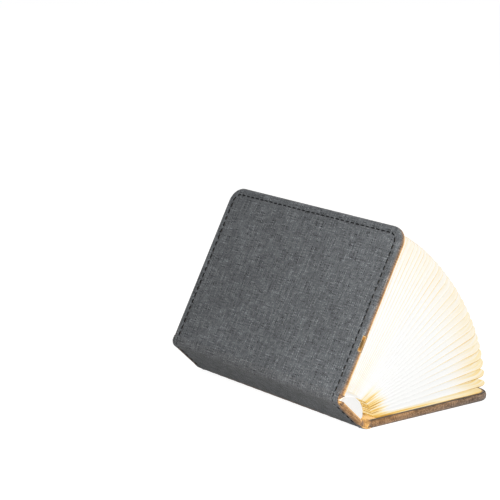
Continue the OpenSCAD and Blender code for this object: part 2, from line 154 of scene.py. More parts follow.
class Graph:
    """A material's nodes. An input takes a socket, a number or an (r, g, b) colour."""

    def __init__(self, name):
        self.material = bpy.data.materials.new(name)
        self.material.use_nodes = True
        self.tree = self.material.node_tree
        self.surface = self.tree.nodes["Principled BSDF"]

    def set(self, **values):
        for key, value in values.items():
            self.surface.inputs[key.replace("_", " ")].default_value = value
        return self

    def node(self, kind, **inputs):
        """A new node, whose inputs are given by name, with _ for a space."""
        made = self.tree.nodes.new("ShaderNode" + kind)
        for key, value in inputs.items():
            self.feed(made.inputs[key.replace("_", " ")], value)
        return made

    def feed(self, socket, value):
        if isinstance(value, bpy.types.NodeSocket):
            self.tree.links.new(value, socket)
        else:
            socket.default_value = (*value, 1) if socket.type == "RGBA" else value

    def feed_all(self, node, *values):
        """Feeds a node's inputs in their order and gives its first output."""
        for socket, value in zip(node.inputs, values):
            self.feed(socket, value)
        return node.outputs[0]

    def math(self, operation, *values):
        made = self.node("Math")
        made.operation = operation
        return self.feed_all(made, *values)

    def add(self, a, b):
        return self.math("ADD", a, b)

    def sub(self, a, b):
        return self.math("SUBTRACT", a, b)

    def mul(self, a, b):
        return self.math("MULTIPLY", a, b)

    def smooth(self, value, low, high, to_low=0.0, to_high=1.0):
        made = self.node("MapRange")
        made.interpolation_type = "SMOOTHSTEP"
        return self.feed_all(made, value, low, high, to_low, to_high)

    def mix(self, share, a, b, blend="MIX"):
        made = self.node("Mix")
        made.data_type = "RGBA"
        made.blend_type = blend
        self.feed(made.inputs["Factor"], share)
        self.feed(made.inputs[6], a)
        self.feed(made.inputs[7], b)
        return made.outputs[2]

    def shaded(self, colour, level):
        """The colour times a grey level."""
        return self.mix(1.0, colour, self.xyz(level, level, level), "MULTIPLY")

    def ramp(self, share, stops):
        made = self.node("ValToRGB", Fac=share)
        while len(made.color_ramp.elements) < len(stops):
            made.color_ramp.elements.new(0.5)
        for element, (place, colour) in zip(made.color_ramp.elements, stops):
            element.position = place
            element.color = (*colour, 1)
        return made.outputs[0]

    def noise(self, place, scale, detail=2.0, rough=0.5):
        made = self.node("TexNoise", Vector=place, Scale=scale, Detail=detail, Roughness=rough)
        return made.outputs["Fac"]

    def xyz(self, x, y, z=0.0):
        return self.feed_all(self.node("CombineXYZ"), x, y, z)

    def parts(self, vector):
        return self.node("SeparateXYZ", Vector=vector).outputs

    def flat_place(self):
        return self.parts(self.node("UVMap").outputs[0])

    def object_place(self):
        return self.node("TexCoord").outputs["Object"]

    def value(self, name):
        """A value that the mesh gives for each point, or 0 where it gives none."""
        made = self.node("Attribute")
        made.attribute_name = name
        return made.outputs["Fac"]

    def bump(self, height, distance, strength=1.0):
        made = self.node("Bump", Strength=strength, Distance=distance, Height=height)
        self.feed(self.surface.inputs["Normal"], made.outputs[0])

    def colour(self, socket):
        self.feed(self.surface.inputs["Base Color"], socket)

    def roughness(self, socket):
        self.feed(self.surface.inputs["Roughness"], socket)

    def glow(self, colour, strength):
        self.feed(self.surface.inputs["Emission Color"], colour)
        self.feed(self.surface.inputs["Emission Strength"], strength)


def linen(name):
    """Plain weave of light and dark threads, in mm of the cloth laid flat. The mesh's glow value, from
    0 to 1, paints the lamp's light on it as a brown lit colour and an amber glow, and "line" is
    painted shade along a seam."""
    g = Graph(name)
    flat = g.flat_place()
    wander = g.noise(g.xyz(g.mul(flat[0], 0.07), g.mul(flat[1], 0.07)), 1.0, 2.0)
    u = g.add(g.math("DIVIDE", flat[0], THREAD), g.mul(wander, 1.6))
    v = g.add(g.math("DIVIDE", flat[1], THREAD), g.mul(wander, 1.2))
    column, row = g.math("FLOOR", u), g.math("FLOOR", v)

    def thread_side(along, across, other, sign):
        rounded = g.math("SINE", g.mul(g.math("FRACT", across), math.pi))
        wave = g.math("SINE", g.mul(g.add(along, other), math.pi))
        return g.add(g.mul(rounded, 0.62), g.mul(wave, 0.38 * sign))

    warp = thread_side(v, u, column, 1)
    weft = thread_side(u, v, row, -1)
    height = g.math("MAXIMUM", warp, weft)
    over = g.smooth(g.sub(warp, weft), -0.08, 0.08)
    warp_tone = g.noise(g.xyz(g.mul(column, 7.31), g.mul(flat[1], 0.16)), 1.0, 2.0, 0.65)
    weft_tone = g.noise(g.xyz(g.mul(flat[0], 0.16), g.mul(row, 7.31), 40.0), 1.0, 2.0, 0.65)
    tone = g.add(g.mul(over, warp_tone), g.mul(g.sub(1.0, over), weft_tone))
    fleck = g.noise(g.xyz(flat[0], flat[1]), 1.1, 3.0, 0.7)
    tone = g.add(g.mul(tone, 0.78), g.mul(fleck, 0.22))
    dye_and_painted_shade = g.ramp(tone, [(0.34, (0.023, 0.026, 0.029)), (0.43, (0.108, 0.116, 0.126)),
                         (0.55, (0.181, 0.194, 0.208)), (0.70, (0.39, 0.41, 0.43))])
    cloudy = g.noise(g.xyz(g.mul(flat[0], 0.030), g.mul(flat[1], 0.030)), 1.0, 2.0, 0.5)
    streaks = g.noise(g.xyz(g.mul(flat[0], 0.8), g.mul(flat[1], 0.06)), 1.0, 2.0, 0.6)
    shade = g.add(g.smooth(cloudy, 0.3, 0.7, 0.72, 0.86), g.smooth(streaks, 0.25, 0.75, 0.0, 0.22))
    # Painted shade: darker in the hollows between the threads, where the weave is low; the cloudy and
    # streaky tone above is the cloth's own.
    shade = g.mul(shade, g.smooth(height, 0.15, 0.85, 0.42, 1.0))
    dye_and_painted_shade = g.shaded(dye_and_painted_shade, shade)
    # Painted glow: the lamp's light is painted on the cloth, as a brown lit copy of its colour and an
    # amber glow that is strongest in the gaps between threads.
    painted_glow = g.value("painted_glow")
    lit = g.mix(g.smooth(tone, 0.36, 0.62), (0.18, 0.085, 0.028), (0.50, 0.28, 0.125))
    lit = g.shaded(lit, shade)
    body = g.mix(g.smooth(painted_glow, 0.0, 0.6, 0.0, 0.95), dye_and_painted_shade, lit)
    # Painted shade: a near-black line along the seam, where the painted glow is also taken away.
    line = g.value("line")
    g.colour(g.mix(line, body, (0.012, 0.010, 0.008)))
    gaps = g.smooth(height, 0.15, 0.75, 1.0, 0.12)
    through = g.mul(g.smooth(painted_glow, 0.45, 1.0), g.add(g.mul(gaps, 0.75), 0.38))
    g.glow(g.mix(g.smooth(painted_glow, 0.6, 1.0), (0.62, 0.29, 0.075), (1.0, 0.62, 0.17)),
           g.mul(through, g.sub(1.0, line)))
    g.roughness(g.smooth(tone, 0.3, 0.7, 0.96, 0.82))
    fibres = g.noise(g.xyz(flat[0], flat[1]), 9.0, 2.0, 0.8)
    g.bump(g.add(height, g.mul(fibres, 0.25)), 0.00016, 0.8)
    return g.set(Sheen_Weight=0.22, Sheen_Roughness=0.5, Specular_IOR_Level=0.22).material


def thread_material():
    g = Graph("stitch_thread")
    place = g.object_place()
    tone = g.noise(place, 4200.0, 2.0, 0.7)
    g.colour(g.ramp(tone, [(0.3, (0.004, 0.004, 0.005)), (0.7, (0.018, 0.019, 0.021))]))
    g.roughness(g.smooth(tone, 0.3, 0.7, 0.6, 0.85))
    g.bump(tone, 0.00006)
    return g.set(Specular_IOR_Level=0.25).material


def page_material(name, edge=False):
    """Paper whose light from inside is painted on, as its colour and a glow: white where the lamp is
    strongest, and amber where the light has come far, at the folds and near the table. UV is (mm
    from the inner fold, mm from the middle of the spine); "side" is 0 at the back cover and 1 at
    the front, and below 0 on the leaf that is glued to the back cover."""
    g = Graph(name)
    flat = g.flat_place()
    side = g.value("side")
    down = g.sub(1.0, side)
    low = g.math("POWER", down, 2.0)
    lowest = g.math("POWER", down, 9.0)
    glued = g.smooth(side, -0.05, -0.01, 1.0, 0.0)
    from_end = g.sub(PAGE_HALF, g.math("ABSOLUTE", flat[1]))
    streak = g.xyz(g.mul(flat[0], 0.035), g.mul(flat[1], 0.9), g.mul(side, 53.0))
    streak = g.noise(streak, 1.0, 3.0, 0.6)
    reach = g.noise(g.xyz(g.mul(side, 41.0), g.mul(flat[1], 0.5)), 1.0, 2.0, 0.6)
    strand = g.smooth(g.sub(flat[0], g.mul(reach, 22.0)), -9.0, 1.0, 1.0, 0.0)
    each = g.noise(g.xyz(g.mul(side, 97.0), 3.0), 1.0, 1.0)
    inner = g.mul(strand, g.smooth(side, 0.24, 0.52, 1.0, 0.0))
    inner = g.mul(inner, g.smooth(each, 0.35, 0.6, 0.45, 1.25))
    inward = g.smooth(from_end, 0.2, 3.4, 1.0, g.smooth(flat[0], 20.0, 60.0, 0.25, 0.70))
    glued_amber = g.mul(g.mul(glued, g.smooth(flat[0], 5.0, 70.0, 0.62, 0.30)), inward)
    if edge:
        amber = g.mul(g.smooth(flat[0], 26.0, 72.0), g.add(0.28, g.mul(low, 0.44)))
        amber = g.add(amber, glued_amber)
        amber = g.add(amber, g.mul(inner, 0.75))
        ahead = g.mul(g.smooth(side, 0.5, 0.8), g.smooth(flat[0], 5.0, 60.0, 0.19, 0.12))
        amber = g.add(amber, ahead)
        tip = g.mul(g.smooth(flat[0], 74.0, 75.5), g.smooth(from_end, 3.0, 6.0, 1.0, 0.3))
        amber = g.add(amber, g.mul(tip, 0.40))
    else:
        deep = g.smooth(from_end, 0.3, 9.0)
        share = g.add(0.11, g.add(g.mul(low, 0.10), g.mul(lowest, 0.20)))
        share = g.mul(share, g.sub(1.0, g.mul(glued, 0.75)))
        amber = g.mul(g.smooth(flat[0], 50.0, 78.0), share)
        amber = g.mul(amber, g.add(0.85, g.mul(deep, 0.15)))
        amber = g.add(amber, g.mul(inner, 0.42))
        amber = g.add(amber, glued_amber)
    amber = g.mul(amber, g.smooth(streak, 0.3, 0.7, 0.5, 1.55))
    painted_light_colour = g.ramp(amber, [(0.0, (0.82, 0.82, 0.81)), (0.12, (0.84, 0.79, 0.69)),
                          (0.28, (0.84, 0.73, 0.48)), (0.50, (0.82, 0.60, 0.24)),
                          (0.72, (0.76, 0.46, 0.10)), (1.0, (0.46, 0.23, 0.03))])
    fibre = g.noise(g.xyz(g.mul(flat[0], 0.6), g.mul(flat[1], 2.5)), 1.0, 4.0, 0.7)
    g.colour(g.shaded(painted_light_colour, g.smooth(fibre, 0.3, 0.7, 0.20, 0.25)))
    # Painted glow: the paper glows with the painted lamp light, though only the diffuser is a lamp.
    g.glow(painted_light_colour, 0.86)
    g.roughness(g.smooth(fibre, 0.3, 0.7, 0.7, 0.85))
    g.bump(fibre, 0.00005, 0.5)
    return g.set(Specular_IOR_Level=0.2).material


def plastic(name, low, high, rough=0.45, glow=None, scale=900.0):
    """glow is the colours between the light chips and over them, and a strength."""
    g = Graph(name)
    tone = g.noise(g.object_place(), scale, 3.0, 0.6)
    g.colour(g.mix(g.smooth(tone, 0.3, 0.7), low, high))
    g.roughness(g.smooth(tone, 0.3, 0.7, rough, rough + 0.15))
    g.bump(tone, 0.00002, 0.5)
    if glow:
        between, over, strength = glow
        along = g.parts(g.object_place())[1]
        spots = g.math("COSINE", g.mul(along, 2 * math.pi / (CHIP_PITCH * MM)))
        g.glow(g.mix(g.smooth(spots, -1.0, 1.0), between, over), strength)
    return g.material


def metal(name, low, high, rough=0.3, stretch=(1, 60, 1), glow=None):
    """stretch gives the brushing its direction, and glow is a colour and a strength."""
    g = Graph(name)
    place = g.node("Mapping", Vector=g.object_place(), Scale=stretch)
    tone = g.noise(place.outputs[0], 140.0, 4.0, 0.7)
    g.colour(g.mix(g.smooth(tone, 0.3, 0.7), low, high))
    g.roughness(g.smooth(tone, 0.3, 0.7, rough, rough + 0.18))
    g.bump(tone, 0.00003, 0.5)
    if glow:
        g.glow(*glow)
    return g.set(Metallic=1.0).material


def fibreboard():
    g = Graph("fibreboard")
    place = g.object_place()
    chips = g.noise(place, 700.0, 5.0, 0.75)
    layers = g.noise(place, 90.0, 3.0, 0.6)
    g.colour(g.mix(g.smooth(layers, 0.3, 0.7),
                   g.ramp(chips, [(0.3, (0.10, 0.075, 0.045)), (0.7, (0.30, 0.24, 0.16))]),
                   (0.20, 0.16, 0.11)))
    g.roughness(g.smooth(chips, 0.3, 0.7, 0.8, 0.95))
    g.bump(chips, 0.0001)
    return g.material


def circuit_board(name, mask, track):
    g = Graph(name)
    place = g.object_place()
    lines = g.node("TexBrick", Vector=place, Scale=520.0, Color1=mask, Color2=[c * 0.8 for c in mask],
                   Mortar=track, Mortar_Size=0.03)
    tone = g.noise(place, 900.0, 3.0)
    g.colour(lines.outputs["Color"])
    g.roughness(g.smooth(tone, 0.3, 0.7, 0.3, 0.5))
    g.bump(tone, 0.00002)
    return g.material


def floor_material():
    """White to the camera and in reflections, and it keeps the object's shadow."""
    g = Graph("floor")
    tone = g.noise(g.object_place(), 3.0, 2.0)
    g.colour(g.mix(g.smooth(tone, 0.3, 0.7), (0.33, 0.33, 0.33), (0.35, 0.35, 0.35)))
    g.set(Roughness=0.9, Specular_IOR_Level=0.0)
    rays = g.node("LightPath").outputs
    seen = g.math("MAXIMUM", rays["Is Glossy Ray"], rays["Is Transmission Ray"])
    seen = g.math("MAXIMUM", rays["Is Camera Ray"], seen)
    g.glow((1, 1, 1), g.mul(seen, FLOOR_LEVEL))
    return g.material


def world():
    """White to the camera and through glass, and a soft light on the object."""
    made = bpy.data.worlds.new("studio")
    bpy.context.scene.world = made
    made.use_nodes = True
    tree = made.node_tree
    surface = tree.nodes["Background"]
    path = tree.nodes.new("ShaderNodeLightPath")
    seen = tree.nodes.new("ShaderNodeMath")
    seen.operation = "MAXIMUM"
    tree.links.new(path.outputs["Is Camera Ray"], seen.inputs[0])
    tree.links.new(path.outputs["Is Transmission Ray"], seen.inputs[1])
    level = tree.nodes.new("ShaderNodeMapRange")
    tree.links.new(seen.outputs[0], level.inputs["Value"])
    level.inputs["To Min"].default_value = WORLD_LEVEL
    level.inputs["To Max"].default_value = 1.0
    tree.links.new(level.outputs[0], surface.inputs["Strength"])
    surface.inputs["Color"].default_value = (1, 1, 1, 1)


# ---- meshes ----

def piece(name, verts, faces, materials, uv=None, values=None, indices=None, flat_uv=None, sharp=50):
    """Mesh object from points in metres. uv and values are given for each point; flat_uv gives
    other uv for some faces, as {face: uv for each point}."""
    mesh = bpy.data.meshes.new(name)
    mesh.from_pydata([tuple(v) for v in verts], [], [tuple(int(i) for i in f) for f in faces])
    for material in materials:
        mesh.materials.append(material)
    if indices is not None:
        mesh.polygons.foreach_set("material_index", np.asarray(indices, np.int32))
    if uv is not None:
        layer = mesh.uv_layers.new(name="UVMap")
        corners = np.empty(len(mesh.loops), np.int32)
        mesh.loops.foreach_get("vertex_index", corners)
        laid = np.asarray(uv, np.float32)[corners]
        for face, other in (flat_uv or {}).items():
            loops = mesh.polygons[face].loop_indices
            laid[list(loops)] = np.asarray(other, np.float32)[corners[list(loops)]]
        layer.data.foreach_set("uv", laid.ravel())
    for key, value in (values or {}).items():
        mesh.attributes.new(key, "FLOAT", "POINT").data.foreach_set(
            "value", np.asarray(value, np.float32))
    bm = bmesh.new()
    bm.from_mesh(mesh)
    bmesh.ops.recalc_face_normals(bm, faces=bm.faces)
    for edge in bm.edges:
        edge.smooth = len(edge.link_faces) == 2 and edge.calc_face_angle(0) < math.radians(sharp)
    for face in bm.faces:
        face.smooth = True
    bm.to_mesh(mesh)
    bm.free()
    made = bpy.data.objects.new(name, mesh)
    bpy.context.scene.collection.objects.link(made)
    return made


def placed(matrix, points):
    """Points in mm in a frame, as an array in metres in the row frame."""
    m = np.array(matrix, float)
    points = np.asarray(points, float)
    return (points @ m[:3, :3].T + m[:3, 3]) * MM


def strip_faces(rows, columns, closed=False):
    """Quads of a grid whose points run column by column in each row."""
    faces = []
    for i in range(rows - 1):
        for j in range(columns - (0 if closed else 1)):
            k = (j + 1) % columns
            faces.append((i * columns + j, i * columns + k, (i + 1) * columns + k, (i + 1) * columns + j))
    return faces


def tube_faces(rows, columns):
    """Quads of a closed tube of rings, and a face over each of its two ends."""
    last = (rows - 1) * columns
    return (strip_faces(rows, columns, closed=True)
            + [tuple(range(columns)), tuple(last + i for i in range(columns))])


def slab_faces(stations, columns):
    """Faces of a bent slab, whose stations each hold two rows of points, one for each side."""
    faces = []
    ring = 2 * columns
    for j in range(stations - 1):
        a, b = j * ring, (j + 1) * ring
        for i in range(columns - 1):
            for row in (0, columns):
                faces.append((a + row + i, a + row + i + 1, b + row + i + 1, b + row + i))
        faces.append((a, b, b + columns, a + columns))
        faces.append((a + columns - 1, b + columns - 1, b + ring - 1, a + ring - 1))
    for a in (0, (stations - 1) * ring):
        for i in range(columns - 1):
            faces.append((a + i, a + i + 1, a + columns + i + 1, a + columns + i))
    return faces


# ---- the stitch line of a cover ----

STITCH_HALF = HALF_L - INSET
STITCH_TOP = COVER_W - INSET
STITCH_R = CORNER_R - INSET
STITCH_RUN = STITCH_TOP - STITCH_R - HINGE_W
STITCH_BEND = math.pi * STITCH_R / 2
STITCH_EDGE = 2 * (STITCH_HALF - STITCH_R)
STITCH_PATH = 2 * STITCH_RUN + 2 * STITCH_BEND + STITCH_EDGE
STITCHES = int(STITCH_PATH // PITCH)


def stitch_at(s):
    """(y, z, direction from +z towards +y) on the line, which runs up the tail edge, along the
    fore-edge and down the head edge."""
    a = STITCH_RUN
    b, c = a + STITCH_BEND, a + STITCH_BEND + STITCH_EDGE
    if s < a:
        return -STITCH_HALF, HINGE_W + s, 0.0
    if a <= s < b or c <= s < c + STITCH_BEND:
        side = -1 if s < b else 1
        turn = (s - (a if side < 0 else c)) / STITCH_R + (0 if side < 0 else math.pi / 2)
        return (side * (STITCH_HALF - STITCH_R) - STITCH_R * math.cos(turn),
                STITCH_TOP - STITCH_R + STITCH_R * math.sin(turn), turn)
    if s < c:
        return -STITCH_HALF + STITCH_R + s - b, STITCH_TOP, math.pi / 2
    return STITCH_HALF, STITCH_TOP - STITCH_R - (s - c - STITCH_BEND), math.pi


# Round a cover's edge: (mm in from the edge, mm into the book, and the painted glow of the lamp's
# light on the back cover and the spine, and on the front cover)
EDGE = [(7.5, 0.0, 0, 0), (5.6, 0.0, 0, 0), (4.6, 0.05, 0, 0), (4.05, 0.20, 0, 0), (3.78, 0.42, 0, 0),
        (3.5, 0.50, 0, 0), (3.22, 0.42, 0, 0), (2.95, 0.20, 0, 0), (2.5, 0.06, 0, 0), (1.9, 0.0, 0.03, 0),
        (1.2, 0.02, 0.12, 0), (0.68, 0.10, 0.26, 0), (0.24, 0.39, 0.38, 0.03),
        (-0.05, 0.83, 0.46, 0.10), (-0.15, 1.35, 0.50, 0.22), (-0.15, 2.3, 0.54, 0.46),
        (-0.05, 2.95, 0.58, 0.90), (0.24, 3.60, 0.64, 1.0), (0.68, 3.90, 0.80, 1.0), (1.2, 4.0, 1.0, 1.0),
        (1.9, 4.0, 1.0, 1.0), (3.0, 4.0, 1.0, 1.0), (7.5, 4.0, 0.9, 0.9)]
# Places in EDGE: the groove under the stitches, its middle and the shoulder outside it, then the
# outer face as far as the roll, the roll's inner half and the seam on it, which is painted dark as shade
GROOVE, STITCH_LINE, SHOULDER = range(3, 8), 5, (8, 9)
OUTER_FACE, INNER_ROLL, SEAM = range(9), range(15, 20), (18, 19)


def groove_depth(x, pull):
    """The groove is deepest at a stitch's middle, where pull is 1, and shallow where pull is 0."""
    return x * (0.55 + 0.6 * pull)


def painted_seam_shade(ring, sway):
    """Painted shade: how dark the cloth is along the seam, which wanders a little."""
    if ring in SEAM:
        return 0.95
    return 0.5 if ring == SEAM[0] - 1 and sway > 0.1 else 0.0


def cover_wrap(name, matrix, cloth, lift, seam):
    """Cloth wrapped round a cover's board: a soft roll outside the stitch line, which each stitch
    pulls down, and the cloth turned in over the inner face. lift moves the weave along, so that
    it runs on over the hinge, and turns it over where it is below 0."""
    per_stitch = 6
    stations = STITCHES * per_stitch + 1
    rings = len(EDGE)
    edge = np.array([ring[:2] for ring in EDGE])
    arc = np.concatenate(([0], np.cumsum(np.hypot(*np.diff(edge, axis=0).T))))
    arc -= arc[STITCH_LINE]
    points, uv, painted_glow, line = [], [], [], []
    sign = math.copysign(1, lift)
    for i in range(stations):
        s = STITCH_PATH * i / (stations - 1)
        y, z, turn = stitch_at(min(s, STITCH_PATH - 1e-6))
        if i == stations - 1:
            y, z, turn = STITCH_HALF, HINGE_W, math.pi
        out = np.array([-math.cos(turn), math.sin(turn)])
        pull = 0.5 - 0.5 * math.cos(2 * math.pi * i / per_stitch)
        sway = 0.5 * math.sin(0.23 * s) + 0.3 * math.sin(0.61 * s + 1.3)
        # Painted glow of the lamp's light: on the back cover it fades towards the fore-edge, and on the
        # front cover it is strongest near the hinge line and leaks a little onto the roll.
        fade = 1 - 0.42 * min(1.0, max(0.0, (z - 8) / 70)) ** 1.3
        near = 1 + 0.9 * math.exp(-z / 9)
        for j, (d, x, back_warm, front_warm) in enumerate(EDGE):
            if j in GROOVE:
                x = groove_depth(x, pull)
            elif j in SHOULDER:
                x += 0.07 * pull
            elif j in INNER_ROLL:
                d += 0.06 * sway
            points.append((x, *(np.array([y, z]) + out * (INSET - d))))
            uv.append((y + out[0] * arc[j], lift + sign * (z + out[1] * arc[j])))
            # On the back cover: the painted glow of EDGE's back column, and the painted shade of the seam.
            if seam:
                painted_glow.append(back_warm * fade)
                line.append(painted_seam_shade(j, sway))
            else:
                leak = 0 if j in OUTER_FACE else 0.3 * math.exp(-z / 6)
                painted_glow.append(min(1.0, front_warm * near + leak))
                line.append(0)
    faces = strip_faces(stations, rings)
    first, last = np.arange(rings), (stations - 1) * rings + np.arange(rings)
    outer = np.arange(stations) * rings
    inner = outer + rings - 1
    half, top, r = HALF_L - TURN_IN, COVER_W - TURN_IN, 1.0
    window = [(-half, HINGE_W), (-half, top - r), (-half + r, top),
              (half - r, top), (half, top - r), (half, HINGE_W)]
    base, n = len(points), len(window)
    for x in (COVER_T, COVER_T - CLOTH_T):
        for y, z in window:
            points.append((x, y, z))
            uv.append((y, lift + sign * z))
            # Painted glow on the turned-in cloth over the inner face.
            painted_glow.append(0.5)
            line.append(0)
    faces.append(tuple(outer))
    faces.append((*inner, *(base + np.arange(n)[::-1])))
    faces += [(base + i, base + i + 1, base + n + i + 1, base + n + i) for i in range(n - 1)]
    faces.append(tuple(base + n + np.arange(n)))
    end_face = len(faces)
    faces.append((*first, base, base + n, base + 2 * n - 1, base + n - 1, *last[::-1]))
    end_uv = [(p[1], lift + sign * (HINGE_W - p[0])) for p in points]
    return piece(name, placed(matrix, points), faces, cloth, uv, {"painted_glow": painted_glow, "line": line},
                 flat_uv={end_face: end_uv}, sharp=60)


def tubes(name, runs, material):
    """Six-sided tubes along runs of (points, radii) in metres, as one mesh."""
    sides = 6
    verts, faces = [], []
    for points, radii in runs:
        points = np.asarray(points, float)
        ahead = np.gradient(points, axis=0)
        ahead /= np.linalg.norm(ahead, axis=1)[:, None]
        side = np.cross(ahead, (0.31, 0.77, 0.55))
        side /= np.linalg.norm(side, axis=1)[:, None]
        up = np.cross(side, ahead)
        base = len(verts)
        for p, a, b, r in zip(points, side, up, radii):
            for k in range(sides):
                t = 2 * math.pi * k / sides
                verts.append(p + (a * math.cos(t) + b * math.sin(t)) * r)
        faces += [tuple(base + i for i in f) for f in tube_faces(len(points), sides)]
    return piece(name, verts, faces, [material], sharp=80)


def stitch(place, length=STITCH_L, sink=0.42):
    """Two twisted plies of one stitch, whose ends go sink mm deeper than its middle. place(a, x, b)
    gives the point at a along the stitch, x into the cloth and b beside it, in mm, as a point in
    metres."""
    runs = []
    for ply in (0, math.pi):
        points, radii = [], []
        for t in np.linspace(-1, 1, 11):
            twist = ply + 2.6 * math.pi * t
            deep = 0.10 + sink * abs(t) ** 3
            points.append(place(t * length / 2, deep + 0.10 * math.sin(twist), 0.16 * math.cos(twist)))
            radii.append((0.22 - 0.06 * abs(t) ** 4) * MM)
        runs.append((points, radii))
    return runs


def cover_stitches(name, matrix, thread):
    runs = []
    for i in range(STITCHES):
        y, z, turn = stitch_at((i + 0.5) * STITCH_PATH / STITCHES)
        along = np.array([math.sin(turn), math.cos(turn)])
        beside = np.array([-along[1], along[0]])

        def place(a, x, b, y=y, z=z, along=along, beside=beside):
            at = np.array([y, z]) + along * a + beside * b
            return placed(matrix, [(x, *at)])[0]
        runs += stitch(place)
    return tubes(name, runs, thread)


def spine_end_warm(ring, back_warm):
    """Painted glow of the lamp's light at the spine's ends, more than at the back cover's edge."""
    if ring <= GROOVE[-1]:
        return back_warm
    if ring <= INNER_ROLL[0]:
        return max(0.2 * min(ring - GROOVE[-1], 3), back_warm)
    return min(1, 1.35 * back_warm)


def spine_wrap(name, cloth):
    """Cloth round the spine's board, rolled at both ends, with a stitch groove across each."""
    thinner = SPINE_T / COVER_T
    end = [(d, x * thinner if x > 0.5 else x, spine_end_warm(j, back_warm), j)
           for j, (d, x, back_warm, _) in enumerate(EDGE)]
    loop = [(x, -HALF_L + d, w, j) for d, x, w, j in end]
    loop += [(x, HALF_L - d, w, j) for d, x, w, j in reversed(end)]
    columns = 41
    points, uv, painted_glow = [], [], []
    for i in range(columns):
        x = SPINE_X0 + (SPINE_X1 - SPINE_X0) * i / (columns - 1)
        pull = 0.5 + 0.5 * math.cos(2 * math.pi * (x - SPINE_X0 - ROW_INSET) / ROW_PITCH)
        for z, y, w, ring in loop:
            if ring in GROOVE:
                z = groove_depth(z, pull)
            along = y if ring in OUTER_FACE else math.copysign(HALF_L + 0.8 * z, y)
            points.append((x, y, z))
            uv.append((along, x + BOOK_T / 2))
            painted_glow.append(w)
    n = len(loop)
    faces = tube_faces(columns, n)
    side_uv = {len(faces) - 2: [(p[1], p[0] + BOOK_T / 2 + p[2]) for p in points],
               len(faces) - 1: [(p[1], p[0] + BOOK_T / 2 - p[2]) for p in points]}
    return piece(name, placed(SPINE, points), faces, cloth, uv, {"painted_glow": painted_glow}, flat_uv=side_uv, sharp=60)


def spine_stitches(name, thread):
    runs = []
    for side in (-1, 1):
        for i in range(SPINE_STITCHES):
            x = SPINE_X0 + ROW_INSET + ROW_PITCH * i

            def place(a, z, b, x=x, side=side):
                return placed(SPINE, [(x + a, side * STITCH_HALF + b, z)])[0]
            runs += stitch(place)
    return tubes(name, runs, thread)


class HingeLine:
    """Cross-section of the cloth over a hinge line, in its cover's frame at rest: straight along
    the cover, round the hinge line and straight along the spine."""

    def __init__(self, opening):
        inside = math.radians(90 + opening)
        self.along = np.array([math.sin(inside), math.cos(inside)])
        self.inward = np.array([-math.cos(inside), math.sin(inside)])
        self.r = HINGE_TANGENT * math.tan(inside / 2)
        self.start, self.bend = HINGE_W - HINGE_TANGENT, self.r * (math.pi - inside)
        self.length = 2 * self.start + self.bend

    def at(self, s):
        """((x, z), inward) at s mm from the cover's end."""
        if s <= self.start:
            return np.array([0.0, HINGE_W - s]), np.array([1.0, 0.0])
        if s >= self.start + self.bend:
            return self.along * (HINGE_TANGENT + s - self.start - self.bend), self.inward
        turned = (s - self.start) / self.r
        centre = np.array([self.r, HINGE_TANGENT])
        inward = np.array([math.cos(turned), math.sin(turned)])
        return centre - inward * self.r, inward


def hinge_cloth(name, matrix, opening, cloth, lift, outer_glow):
    """The cloth between a cover and the spine, thicker where it is turned in at its two ends, and
    the two places between which it bends."""
    line = HingeLine(opening)
    across, along = 17, 81
    sign = math.copysign(1, lift)
    t = np.linspace(-1, 1, along)
    stations = HALF_L * np.sign(t) * (1 - (1 - np.abs(t)) ** 1.35)
    points, uv, painted_glow = [], [], []
    for y in stations:
        end = HALF_L - abs(y)
        thick = CLOTH_T + 0.2 * max(0.0, 1 - end / 7)
        pinch = 0.28 * max(0.0, 1 - end / 0.9) ** 2
        lit = min(1.0, max(0.0, (end - 6) / 34)) ** 0.8
        for inner in (0, 1):
            for i in range(across):
                s = line.length * i / (across - 1)
                at, inward = line.at(s)
                middle = math.sin(math.pi * i / (across - 1))
                ripple = 0.05 * math.sin(y * 0.9 + i) * middle
                at = at + inward * (thick - pinch + ripple if inner else pinch + ripple)
                points.append((at[0], y, at[1]))
                uv.append((y, lift + sign * (HINGE_W - s)))
                # Painted glow of the lamp's light: full on the inner side; on the outer side of the back
                # strip a little, fading towards the ends of the strip and the sides of the bend.
                if end < 0.05:
                    painted_glow.append(0.5 + 0.4 * inner)
                else:
                    painted_glow.append(1.0 if inner else 0.05 + outer_glow * lit * middle ** 1.5)
    strip = piece(name, placed(matrix, points), slab_faces(along, across), cloth, uv, {"painted_glow": painted_glow},
                  sharp=60)
    ends = placed(matrix, [(0, 0, HINGE_W), (line.along[0] * HINGE_W, 0, line.along[1] * HINGE_W)])
    return strip, ends


